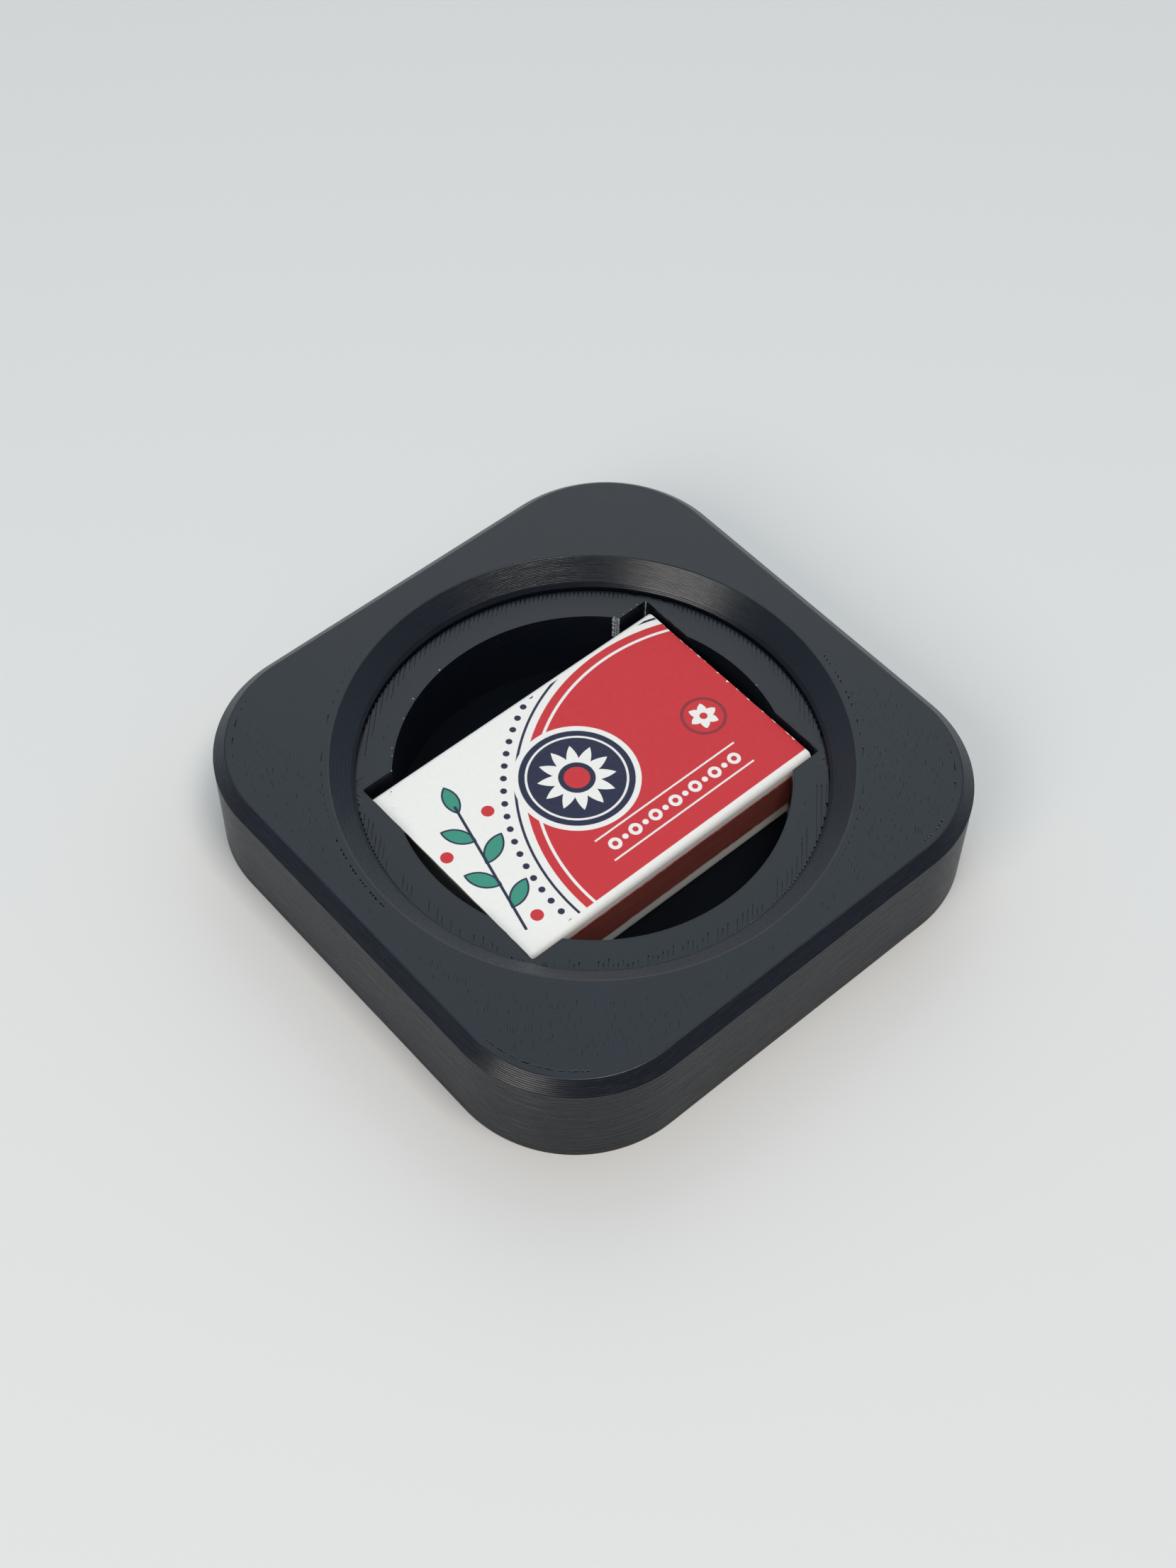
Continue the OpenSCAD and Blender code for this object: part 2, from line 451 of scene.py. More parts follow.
def plastic(name, roughness, grain, stretch, turn=0.0, relief=0.03, tone=1.0, specular=0.5):
    """Dark printed plastic, whose fine grain runs along its printed lines."""
    base = tuple(part * tone for part in PLASTIC)
    made, tree, shader = material(name, base, roughness, specular)
    place = coordinates(tree)
    fine = noise(tree, stretched(tree, place, stretch, turn), grain, 4.0)
    cloud = noise(tree, place, 0.06, 3.0)
    tint = shaded(tree, shaded(tree, base, cloud, 0.8, 1.25), fine, 0.75, 1.3)
    linked(tree, shader, "Base Color", painted(tree, tint, DUST, specks(tree, place, 0.35, 0.03, 0.05)))
    linked(tree, shader, "Roughness", ranged(fine, 0.25, 0.75, roughness - 0.05, roughness + 0.05))
    bumped(tree, shader, fine, relief)
    return made


def pale_scar_and_painted_glint():
    """The same plastic where it is scarred, pale and rough. On the scars the pale colour is partly a painted
    highlight for the glints of the seam's lumps.
    """
    made, tree, shader = material("pale_scar_and_painted_glint", SCAR_AND_GLINT, 0.35)
    grain = noise(tree, coordinates(tree), 2.5, 4.0)
    linked(tree, shader, "Base Color", shaded(tree, SCAR_AND_GLINT, grain, 0.4, 1.6))
    bumped(tree, shader, grain, 0.05)
    return made


def wood():
    """Bare split wood, with grain and pores along X."""
    made, tree, shader = material("match_wood", MATCH_WOOD, 0.7, 0.3)
    place = coordinates(tree)
    grain = noise(tree, stretched(tree, place, (0.12, 2.0, 2.0)), 2.2, 5.0)
    pores = noise(tree, stretched(tree, place, (0.4, 9.0, 9.0)), 2.0, 3.0)
    tone = shaded(tree, MATCH_WOOD, grain, 0.72, 1.25)
    linked(tree, shader, "Base Color", shaded(tree, tone, pores, 0.85, 1.12))
    bumped(tree, shader, pores, 0.06)
    return made


def match_head():
    """The dull, grainy head of a match."""
    made, tree, shader = material("match_head", MATCH_GREEN, 0.62)
    grain = noise(tree, coordinates(tree), 4.0, 5.0)
    linked(tree, shader, "Base Color", shaded(tree, MATCH_GREEN, grain, 0.7, 1.35))
    linked(tree, shader, "Roughness", ranged(grain, 0.3, 0.7, 0.45, 0.75))
    bumped(tree, shader, grain, 0.15)
    return made


def bare_edges(tree, place):
    """1 along the strip's printed edges, where the brown is ragged and the card shows, on its face only."""
    middle, half = extent(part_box("striker_near"))
    from_middle = (xyz(tree, place)[2] - middle[2]).size()
    ragged = (noise(tree, stretched(tree, place, (0.5, 1.0, 1.0)), 1.6, 4.0) - 0.5) * 0.5
    bare = (from_middle - (half[2] - 0.03) + ragged) * -1.0
    on_face = from_middle.math("LESS_THAN", half[2] - 0.01)
    return bare.inside(0.06) * on_face


def striker():
    """A gritty brown strip, uneven along its printed edges."""
    made, tree, shader = material("striker", STRIKER_BROWN, 0.85, 0.3)
    place = coordinates(tree)
    grit = noise(tree, place, 5.0, 5.0, 0.7)
    streak = noise(tree, stretched(tree, place, (0.08, 1.0, 0.6)), 1.5, 3.0)
    tone = shaded(tree, shaded(tree, STRIKER_BROWN, streak, 0.7, 1.35), grit, 0.6, 1.4)
    linked(tree, shader, "Base Color", painted(tree, tone, WHITE, bare_edges(tree, place)))
    bumped(tree, shader, grit, 0.08)
    return made


def card_surface(tree, shader, place, color):
    """The faint mottling and fibre of coated card under any print."""
    mottle = noise(tree, place, 1.1, 4.0)
    fibre = noise(tree, stretched(tree, place, (1.0, 3.0, 3.0)), 2.6, 4.0)
    tone = shaded(tree, shaded(tree, color, mottle, 0.955, 1.035), fibre, 0.97, 1.02)
    linked(tree, shader, "Base Color", tone)
    linked(tree, shader, "Roughness", ranged(mottle, 0.3, 0.7, 0.42, 0.6))
    bumped(tree, shader, fibre, 0.02)


def card(name, color):
    """Coated card in one colour."""
    made, tree, shader = material(name, color, 0.5, 0.4)
    card_surface(tree, shader, coordinates(tree), color)
    return made


# The label has plain motifs, placed from the middle of the sleeve's top. A ring is given as its way out
# from an edge or middle, and half its width

PRINT_SOFT = 0.09
PRINT_WOBBLE = 0.05
MARGIN = 1.25
FIELD_AT = (15.5, -14.5)
FIELD_R = 31.0
FIELD_WHITE_RING = (-1.5, 0.22)
FIELD_NAVY_RING = (1.3, 0.2)
FIELD_DOTS_OUT = 3.0
FIELD_DOT_R = 0.5
FIELD_DOTS = 96
SPRIG_FOOT = (-24.0, -13.5)
SPRIG_TIP = (-18.5, 8.5)
SPRIG_STEM = 0.22
SPRIG_LEAVES = ((0.18, 4.7, 1), (0.36, 4.9, -1), (0.54, 5.0, 1), (0.72, 4.7, -1), (0.96, 4.5, 0))
LEAF_SLIMNESS = 0.42
LEAF_TURN = 48
LEAF_EDGE = 0.28
BERRIES_AT = ((-15.4, 5.0), (-24.8, 2.6), (-21.4, -12.8))
BERRY_R = 0.95
SUN_AT = (-2.0, 1.2)
SUN_R = 8.4
SUN_BORDER = 0.85
SUN_WHITE_RING = (-1.1, 0.17)
SUN_RAYS = 12
SUN_RAY_R = 4.6
SUN_RAY_SWING = 1.15
SUN_DISC_R = 2.7
SUN_HEART_R = 1.9
ROW_AT = (6.0, -10.9)
ROW_STEP = 1.9
ROW_BEAD_R = 1.0
ROW_BEAD_HOLE_R = 0.45
ROW_DOT_R = 0.45
ROW_HALF_L = 12.6
ROW_LINE_HALF_L = 13.2
ROW_LINE = (2.1, 0.14)
DAISY_AT = (19.3, -2.4)
DAISY_RING = (3.2, 0.24)
DAISY_PETALS = 6
DAISY_R = 2.3
DAISY_SWING = 0.9
DAISY_HEART_R = 0.6


class Label:
    """The print on the sleeve's top, laid down one shape after another."""

    def __init__(self, tree, place):
        x, y, _ = xyz(tree, place)
        self.tree = tree
        self.x = x - BOX_MID[0]
        self.y = y - BOX_MID[1]
        self.wobble = (noise(tree, place, 3.0, 2.0) - 0.5) * PRINT_WOBBLE
        self.color = WHITE

    def ink(self, color, shape):
        """Colours the inside of a shape, which is given by the signed distance from its edge."""
        mask = (shape + self.wobble).inside(PRINT_SOFT)
        self.color = painted(self.tree, self.color, color, mask)

    def away(self, at):
        """The distance from a point."""
        return (self.x - at[0]).long_side(self.y - at[1])

    def waves(self, at, count):
        """The direction from a point, folded so that it runs up and down count times round it."""
        turn = (self.y - at[1]).math("ARCTAN2", self.x - at[0])
        return turn.math("PINGPONG", math.pi / count)

    def turned(self, at, degrees):
        """Coordinates round a point, turned by some degrees."""
        c = math.cos(math.radians(degrees))
        s = math.sin(math.radians(degrees))
        dx = self.x - at[0]
        dy = self.y - at[1]
        return dx * c + dy * s, dy * c - dx * s


def ring(away, out_and_half):
    """Signed distance from a ring that lies some way out from where away is zero."""
    out, half = out_and_half
    return (away - out).size() - half


def leaf(label, root, length, degrees):
    """Signed distance from a pointed leaf that grows out of root."""
    u, v = label.turned(root, degrees)
    width = length * LEAF_SLIMNESS
    radius = (length * length / 4 + width * width / 4) / width
    upper = (u - length / 2).long_side(v - (radius - width / 2)) - radius
    lower = (u - length / 2).long_side(v - (width / 2 - radius)) - radius
    return upper.most(lower)


def stalk(label, start, end, half):
    """Signed distance from a straight line with round ends."""
    length = math.dist(start, end)
    u, v = label.turned(start, math.degrees(math.atan2(end[1] - start[1], end[0] - start[0])))
    past = ((u - length / 2).size() - length / 2).most(0.0)
    return past.long_side(v) - half


def print_field(label):
    """A round red field in one corner, with a white ring in it and a fine ring and dots round it."""
    away = label.away(FIELD_AT)
    from_field = away - FIELD_R
    margin = (label.y + (BOX_HALF_W - MARGIN)) * -1.0
    label.ink(RED, from_field.most(margin))
    label.ink(WHITE, ring(from_field, FIELD_WHITE_RING))
    dots_r = FIELD_R + FIELD_DOTS_OUT
    dots = (away - dots_r).long_side(label.waves(FIELD_AT, FIELD_DOTS) * dots_r) - FIELD_DOT_R
    label.ink(NAVY, dots.most(margin))
    label.ink(NAVY, ring(from_field, FIELD_NAVY_RING).most(margin))


def print_sprig(label):
    """A sprig with leaves on both sides, and three berries."""
    rise = math.degrees(math.atan2(SPRIG_TIP[1] - SPRIG_FOOT[1], SPRIG_TIP[0] - SPRIG_FOOT[0]))
    leaves = None
    for share, length, side in SPRIG_LEAVES:
        root = [a + (b - a) * share for a, b in zip(SPRIG_FOOT, SPRIG_TIP)]
        one = leaf(label, root, length, rise - LEAF_TURN * side)
        leaves = one if leaves is None else leaves.least(one)
    label.ink(NAVY, leaves - LEAF_EDGE)
    label.ink(GREEN, leaves)
    label.ink(NAVY, stalk(label, SPRIG_FOOT, SPRIG_TIP, SPRIG_STEM))
    for at in BERRIES_AT:
        label.ink(RED, label.away(at) - BERRY_R)


def print_sun(label):
    """A white sun with a red heart in a dark roundel."""
    away = label.away(SUN_AT)
    label.ink(WHITE, away - (SUN_R + SUN_BORDER))
    label.ink(NAVY, away - SUN_R)
    label.ink(WHITE, ring(away - SUN_R, SUN_WHITE_RING))
    swing = (label.waves(SUN_AT, SUN_RAYS) * (2 * SUN_RAYS / math.pi) - 1.0) * SUN_RAY_SWING
    label.ink(WHITE, away + swing - SUN_RAY_R)
    label.ink(NAVY, away - SUN_DISC_R)
    label.ink(RED, away - SUN_HEART_R)


def print_bead_row(label):
    """A row of beads and dots between two lines."""
    along = label.x - ROW_AT[0]
    rise = label.y - ROW_AT[1]
    from_bead = along.math("PINGPONG", ROW_STEP)
    from_dot = (from_bead - ROW_STEP).size()
    beads = from_bead.long_side(rise) - ROW_BEAD_R
    holes = from_bead.long_side(rise) - ROW_BEAD_HOLE_R
    dots = from_dot.long_side(rise) - ROW_DOT_R
    past_row = along.size() - ROW_HALF_L
    past_line = along.size() - ROW_LINE_HALF_L
    line_out, line_half = ROW_LINE
    label.ink(WHITE, beads.least(dots).most(past_row))
    label.ink(RED, holes.most(past_row))
    label.ink(WHITE, (rise.size() - line_out).size().most(past_line) - line_half)


def print_daisy(label):
    """A small white flower in a thin ring."""
    away = label.away(DAISY_AT)
    label.ink(DEEP_RED, ring(away, DAISY_RING))
    swing = label.waves(DAISY_AT, DAISY_PETALS) * (DAISY_PETALS / math.pi * DAISY_SWING)
    label.ink(WHITE, away + swing - DAISY_R)
    label.ink(RED, away - DAISY_HEART_R)


def wear_edge(label, place):
    """White chips along the cut edge at the +X end."""
    chip = noise(label.tree, place, 1.3, 4.0)
    worn = (label.x * -1.0 + (BOX_HALF_L - 0.06)) - (chip - 0.56) * 1.6
    label.color = painted(label.tree, label.color, WHITE, worn.inside(0.05))


def printed_card():
    """The printed top of the sleeve."""
    made, tree, shader = material("sleeve_print", WHITE, 0.5, 0.4)
    place = coordinates(tree)
    label = Label(tree, place)
    print_field(label)
    print_sprig(label)
    print_sun(label)
    print_bead_row(label)
    print_daisy(label)
    wear_edge(label, place)
    card_surface(tree, shader, place, label.color)
    return made


# The holder

def square_reach(angle, inset):
    """How far out the rounded square lies at an angle, when it is drawn in by inset."""
    half = HOLDER_HALF - inset
    radius = CORNER_R - inset
    c = abs(math.cos(angle))
    s = abs(math.sin(angle))
    flat = half / max(c, s)
    centre = half - radius
    if min(c, s) * flat <= centre:
        return flat
    along = centre * (c + s)
    across = 2 * centre * centre - radius * radius
    return along + math.sqrt(along * along - across)


def slot_reach(angle, out):
    """How far out the slot and the finger pocket reach at an angle, when they are widened by out."""
    c = abs(math.cos(angle))
    s = abs(math.sin(angle))
    half_l = SLOT_HALF_L + out
    half_w = SLOT_HALF_W + out
    radius = SLOT_CORNER_R + out
    reach = min(half_l / max(c, 1e-9), half_w / max(s, 1e-9))
    cx = half_l - radius
    cy = half_w - radius
    if reach * c > cx and reach * s > cy:
        along = cx * c + cy * s
        reach = along + math.sqrt(max(along * along - cx * cx - cy * cy + radius * radius, 0.0))
    return max(POCKET_R + out, reach)


def round_reach(angle, radius):
    """A circle reaches as far at every angle."""
    return radius


def holder_angles():
    """Angles of the points round the holder: closer on the corners, and one on each edge of the slot."""
    turn = []
    for start in range(0, 360, 90):
        turn += [start + a for a in range(0, 28, 2)]
        turn += [start + a for a in range(28, 62)]
        turn += [start + a for a in range(62, 90, 2)]
    corner = math.degrees(math.atan2(SLOT_HALF_W, SLOT_HALF_L))
    end = math.degrees(math.acos(SLOT_HALF_L / POCKET_R))
    side = math.degrees(math.asin(SLOT_HALF_W / POCKET_R))
    edges = [end, side] + [corner + a for a in (-0.75, -0.4, -0.2, 0.0, 0.2, 0.4, 0.75)]
    for a in edges:
        turn += [a, 180 - a, 180 + a, 360 - a]
    return [math.radians(a) for a in sorted(set(round(a, 4) for a in turn))]


ANGLES = holder_angles()


def polar(angle, reach, z):
    """The point that lies at an angle, a distance from the middle and a height."""
    return math.cos(angle) * reach, math.sin(angle) * reach, z


def loop(outline, out, z):
    """Points at one height round the holder. out is the inset, widening or radius that the outline takes."""
    return [polar(a, outline(a, out), z) for a in ANGLES]


def slot_loop(out, limit, z):
    """The same along the slot and the pocket, but never further out than limit."""
    return [polar(a, min(slot_reach(a, out), limit), z) for a in ANGLES]


def layer_stations(z_low, z_high, height):
    """Heights and groove depths of a printed wall."""
    layers = max(1, round((z_high - z_low) / height))
    step = (z_high - z_low) / layers
    for i in range(layers):
        for share, depth in LAYER_PROFILE:
            yield z_low + (i + share) * step, depth
    yield z_high, 1.0


def wall_reach(angle, groove, wave):
    """How far out the wall lies at an angle, in a layer that wavers with its own wave."""
    start, other_start, back = wave
    waves, other_waves = WAVES_ROUND
    both = math.sin(waves * angle + start) + math.sin(other_waves * angle + other_start)
    waver = back + WAVER * both / 2
    return square_reach(angle, groove + WAVER + waver)


def wall_rows():
    """The printed outer wall, from the base up."""
    rows = []
    wave = None
    for z, depth in layer_stations(0.0, HOLDER_H - BEVEL_H, LAYER_H):
        if depth == 1.0:
            wave = (rng.uniform(*ANY_TURN), rng.uniform(*ANY_TURN), rng.uniform(0.0, WAVER))
        rows.append([polar(a, wall_reach(a, depth * GROOVE, wave), z) for a in ANGLES])
    return rows


def bevel_rows():
    """The printed bevel on the top's edge, from its foot up."""
    rows = []
    bevel_z = HOLDER_H - BEVEL_H
    for z, depth in layer_stations(bevel_z, HOLDER_H, BEVEL_LAYER_H):
        inset = (z - bevel_z) / BEVEL_H * BEVEL_W
        groove = depth * BEVEL_GROOVE
        rows.append(loop(square_reach, inset + groove, z - groove))
    return rows


def slope_rows(foot, top, step):
    """Printed rows of a cone from the top down, given as (radius, z) of its foot and its top."""
    rows = []
    for z, depth in reversed(list(layer_stations(foot[1], top[1], step))):
        share = (z - foot[1]) / (top[1] - foot[1])
        radius = foot[0] + share * (top[0] - foot[0])
        row = []
        for a in ANGLES:
            groove = depth * (SLOPE_GROOVE + SLOPE_GROOVE_SWING * math.cos(a - DEEPEST_AT))
            row.append(polar(a, radius + groove, z - groove))
        rows.append(row)
    return rows


def dish_rows():
    """From the top down: the slope of the dish, the steep lip under it, its upright foot and the groove."""
    lip_z = DISH_LOW_Z - LIP_H
    rows = slope_rows((DISH_LOW_R, DISH_LOW_Z), (DISH_TOP_R, HOLDER_H), SLOPE_LAYER_H)
    rows += slope_rows((LIP_FOOT_R, lip_z), (DISH_LOW_R, DISH_LOW_Z), LIP_LAYER_H)[1:]
    rows.append(loop(round_reach, LIP_FOOT_R + SEAM_BACK, lip_z - SEAM_DROP))
    rows.append(loop(round_reach, LIP_FOOT_R + SEAM_BACK, LEDGE_Z - SEAM_D))
    rows.append(loop(round_reach, LEDGE_RIM_R, LEDGE_Z - SEAM_D))
    return rows


def pocket_rows():
    """The printed walls of the slot and the pocket, from the ledge down."""
    rows = []
    for z, depth in reversed(list(layer_stations(FLOOR_T, LEDGE_Z, 2 * LAYER_H))):
        rows.append(loop(slot_reach, depth * POCKET_GROOVE, z))
    return rows


def holder_core(build):
    """The closed block under its top lines: outside, dish, ledge, pocket and both flat faces."""
    rows = wall_rows() + bevel_rows()
    rows.append(loop(square_reach, BEVEL_W + LINE_W / 2, HOLDER_H))
    rows.append(loop(square_reach, BEVEL_W + LINE_W / 2 + BED_DRAFT, HOLDER_H - BEAD_D))
    rows.append(loop(round_reach, DISH_TOP_R + LINE_W / 2 + BED_DRAFT, HOLDER_H - BEAD_D))
    rows.append(loop(round_reach, DISH_TOP_R + LINE_W / 2, HOLDER_H))
    dish_start = len(rows)
    rows += dish_rows()
    dish_end = len(rows)
    rows.append(loop(round_reach, LEDGE_RIM_R, LEDGE_Z - BEAD_D))
    rows.append(slot_loop(LINE_W / 2, LEDGE_RIM_R - BED_FOOT_CLEAR, LEDGE_Z - BEAD_D))
    rows.append(slot_loop(LINE_W / 2 - BED_DRAFT, LEDGE_RIM_R - BED_TOP_CLEAR, LEDGE_Z))
    rows += pocket_rows()

    def mark(i, j):
        return SLOPE if dish_start <= i < dish_end else WALL

    build.capped(rows, mark, POCKET_FLOOR)


def section(relief):
    """Sides and drops of the points across a printed line, whose edges lie relief below its crown."""
    drops = (BEAD_D, relief, relief * 0.27, 0.0, relief * 0.27, relief, BEAD_D)
    return list(zip((-1.0, -1.0, -0.6, 0.0, 0.6, 1.0, 1.0), drops))


def ring_bead(build, outline, out, z, relief, limit=math.inf):
    """A closed printed line along an outline. Past limit it is tucked under the others."""
    rows = []
    for a in ANGLES:
        row = []
        tuck = TUCKED if outline(a, out) > limit else 0.0
        for side, drop in section(relief):
            reach = min(outline(a, out + side * LINE_W / 2), limit)
            row.append(polar(a, reach, z - drop - tuck))
        rows.append(row)
    build.rows(rows, ring=True)


def bead_stations(start, end, cuts):
    """Places along a straight line: where, share of its width, how far a side is drawn in, and how low."""
    stations = [(start, 0.5, 0.0, BEAD_END_DROP), (start + BEAD_END, 1.0, 0.0, 0.0)]
    for side, cut_start, cut_end, depth in cuts:
        stations += [(cut_start, 1.0, 0.0, 0.0), (cut_start + CUT_END, 1.0, side * depth, 0.0)]
        stations += [(cut_end - CUT_END, 1.0, side * depth, 0.0), (cut_end, 1.0, 0.0, 0.0)]
    stations += [(end - BEAD_END, 1.0, 0.0, 0.0), (end, 0.5, 0.0, BEAD_END_DROP)]
    return sorted(stations)


def steadied(stations):
    """The same with one more place close to each, so that long faces are shaded evenly."""
    steady = []
    for here, after in zip(stations, stations[1:]):
        steady.append(here)
        if after[0] - here[0] > LONG_STRETCH:
            steady += [(here[0] + CLOSE_BY, *here[1:]), (after[0] - CLOSE_BY, *after[1:])]
    steady.append(stations[-1])
    return steady


def raster_bead(build, c, start, end, width, z, relief, cuts=()):
    """A straight printed line beside the block's diagonal. A cut is a side, a stretch and a depth."""
    rows = []
    for t, share, shift, low in steadied(bead_stations(start, end, cuts)):
        left = width / 2 * share - max(-shift, 0.0)
        right = width / 2 * share - max(shift, 0.0)
        row = []
        for side, drop in section(relief):
            out = side * (right if side > 0 else left)
            row.append(((t + c + out) * DIAGONAL, (t - c - out) * DIAGONAL, z - max(drop, low)))
        rows.append(row)
    build.capped(rows)


def runs(inside, c, reach):
    """Stretches of the straight line at distance c from the diagonal where inside holds."""
    t = np.arange(-reach, reach, RUN_STEP)
    held = inside((t + c) * DIAGONAL, (t - c) * DIAGONAL).astype(int)
    steps = np.diff(np.concatenate([[0], held, [0]]))
    starts = t[np.where(steps == 1)[0]]
    ends = t[np.where(steps == -1)[0] - 1]
    return [(a, b) for a, b in zip(starts, ends) if b - a > SHORTEST_RUN]


def outline_table(outline, out):
    turn = np.linspace(-math.pi, math.pi, TABLE_POINTS)
    reach = np.array([outline(a, out) for a in turn])
    return lambda x, y: np.interp(np.arctan2(y, x), turn, reach)


def is_pitted(t, c, places):
    """True if the end of a line lies in one of the places, given in degrees, where lines end short."""
    turn = math.degrees(math.atan2(t - c, t + c)) % 360
    return any(low < turn < high for low, high in places)


def is_near(t, c):
    """True on the camera's side of the top, where the straight lines leave fine dark dashes."""
    is_low = (t - c) * DIAGONAL < NEAR_Y or (t + c) * DIAGONAL < NEAR_X
    return is_low and math.hypot(t, c) < NEAR_REACH


def top_line_ends(start, end, c, is_whole):
    """Where a straight line of the top ends: under the outlines, or short of them in a pitted place."""
    ends = [start - rng.uniform(*END_UNDER), end + rng.uniform(*END_UNDER)]
    for i, (t, way) in enumerate(((start, 1), (end, -1))):
        is_inner = (t < 0) == (i == 1)
        places = DISH_PITS if is_inner else EDGE_PITS
        if is_pitted(t, c, places) and not is_whole:
            ends[i] = t + way * rng.uniform(*END_SHORT)
    return ends


def top_line_cuts(start, end, c):
    """Short cuts along a straight line of the top, which leave dark dashes beside it."""
    cuts = []
    at = start + rng.uniform(*DASH_START)
    while at < end - UNDASHED_L:
        length = rng.uniform(*DASH_L)
        if is_near(at, c):
            cuts.append((1, at, at + length, rng.uniform(*DASH_D)))
        at += length + rng.uniform(*DASH_GAP)
    return cuts


def top_lines(build):
    """Printed lines of the top face: outlines along both edges, straight lines between them."""
    for i in range(1, TOP_RINGS + 1):
        ring_bead(build, square_reach, BEVEL_W + LINE_W * i, HOLDER_H, TOP_RING_RELIEF)
        ring_bead(build, round_reach, DISH_TOP_R + LINE_W * i, HOLDER_H, TOP_RING_RELIEF)
    edge = outline_table(square_reach, BEVEL_W + LINE_W * (TOP_RINGS + 0.5))
    hole = DISH_TOP_R + LINE_W * (TOP_RINGS + 0.5)

    def inside(x, y):
        away = np.hypot(x, y)
        return (away < edge(x, y)) & (away > hole)

    count = int(TOP_LAST_LINE / RASTER_W)
    for k in range(-count, count + 1):
        c = k * RASTER_W
        z = HOLDER_H + rng.uniform(*TOP_LEVELS)
        for start, end in runs(inside, c, TOP_REACH):
            ends = top_line_ends(start, end, c, k % WHOLE_EVERY == 0)
            cuts = top_line_cuts(start, end, c)
            raster_bead(build, c, *ends, RASTER_W, z, TOP_LINE_RELIEF, cuts)


def dash_shape(is_near_side):
    """A dark dash of the ledge: how far from the rim it starts and stops, and half its width."""
    if not is_near_side:
        return FAR_DASH_GAP, rng.uniform(*FAR_DASH_END), rng.uniform(*FAR_DASH_D)
    gap = rng.uniform(*NEAR_DASH_GAP)
    width = rng.uniform(*NEAR_DASH_D) if rng.random() < NEAR_DASH_SHARE else 0.0
    return gap, gap + rng.uniform(*NEAR_DASH_L), width


def ledge_line_cuts(start, end, c, side, outer, dash):
    """The cut that leaves a dash at the rim's end of a straight line of the ledge."""
    gap, reach_in, shift = dash
    stop = math.sqrt(max((LEDGE_RIM_R - reach_in) ** 2 - c * c, 0.0))
    if outer > 0:
        cut = (side, max(stop, start + UNCUT_L), end - gap, shift)
    else:
        cut = (side, start + gap, min(-stop, end - UNCUT_L), shift)
    return [cut] if shift and cut[2] - cut[1] > SHORTEST_CUT else []


def ledge_lines(build):
    """Printed lines of the ledge. The straight ones part in pairs and leave dark dashes at the rim."""
    for i in range(1, LEDGE_RINGS + 1):
        ring_bead(build, slot_reach, LINE_W * i, LEDGE_Z, LEDGE_RING_RELIEF, LEDGE_RIM_R - RING_CLEAR)
    bound = outline_table(slot_reach, LINE_W * (LEDGE_RINGS + 0.4))

    def inside(x, y):
        away = np.hypot(x, y)
        return (away > bound(x, y)) & (away < LEDGE_RIM_R)

    count = int(LEDGE_RIM_R / LEDGE_RASTER_W)
    dashes = {}
    for k in range(-count, count + 1):
        c = (k + 0.5) * LEDGE_RASTER_W
        z = LEDGE_Z + rng.uniform(*LEDGE_LEVELS)
        side = 1 if k % 2 == 0 else -1
        for start, end in runs(inside, c, LEDGE_REACH):
            outer = -1 if start + end < 0 else 1
            pair = (k // 2, outer)
            if pair not in dashes:
                dashes[pair] = dash_shape(outer < 0)
            cuts = ledge_line_cuts(start, end, c, side, outer, dashes[pair])
            ends = (start - LEDGE_UNDER, end) if outer > 0 else (start, end + LEDGE_UNDER)
            raster_bead(build, c, *ends, LEDGE_RASTER_W, z, LEDGE_LINE_RELIEF, cuts)


def lump(build, at, size):
    """A small irregular lump."""
    rows = []
    for i in range(1, LUMP_ROWS + 1):
        a = math.pi * i / (LUMP_ROWS + 1)
        row = []
        for j in range(LUMP_SIDES):
            b = 2 * math.pi * j / LUMP_SIDES
            r = size * rng.uniform(*LUMP_SPREAD)
            x = at[0] + r * math.sin(a) * math.cos(b)
            y = at[1] + r * math.sin(a) * math.sin(b)
            row.append((x, y, at[2] + r * math.cos(a) * LUMP_FLATNESS))
        rows.append(row)
    build.capped(rows)


def seam_scars(build):
    """Pale scars where the printer began its layers: on one pocket edge and in one corner of the slot. Their
    pale colour is partly a painted highlight for the glints there.
    """
    edge = math.asin(SLOT_HALF_W / POCKET_R)
    for i in range(EDGE_SCARS):
        z = LEDGE_Z - 0.15 - i * LAYER_H
        for degrees in EDGE_SCAR_TURNS:
            r = POCKET_R + 0.05 + rng.uniform(-0.05, 0.03)
            at = polar(edge + math.radians(degrees), r, z + rng.uniform(-0.05, 0.05))
            lump(build, at, rng.uniform(*EDGE_SCAR_R))
    corner = (SLOT_HALF_L - CORNER_SCAR_IN, SLOT_HALF_W - CORNER_SCAR_IN)
    for i in range(CORNER_SCARS):
        z = LEDGE_Z - 0.1 - i * LAYER_H
        lump(build, (*corner, z), rng.uniform(*CORNER_SCAR_R))


def stray_specks(build):
    """Pale crumbs along the pocket's edge and the slot's far edge."""
    for degrees in CRUMB_TURNS:
        a = math.radians(degrees + rng.uniform(-1.5, 1.5))
        r = POCKET_R + rng.uniform(-0.05, 0.5)
        size = rng.uniform(*CRUMB_R)
        lump(build, polar(a, r, LEDGE_Z + 0.04), size)
    for x in FAR_CRUMBS_X:
        lump(build, (x, SLOT_HALF_W + rng.uniform(0.1, 0.5), LEDGE_Z + 0.03), FAR_CRUMB_R)


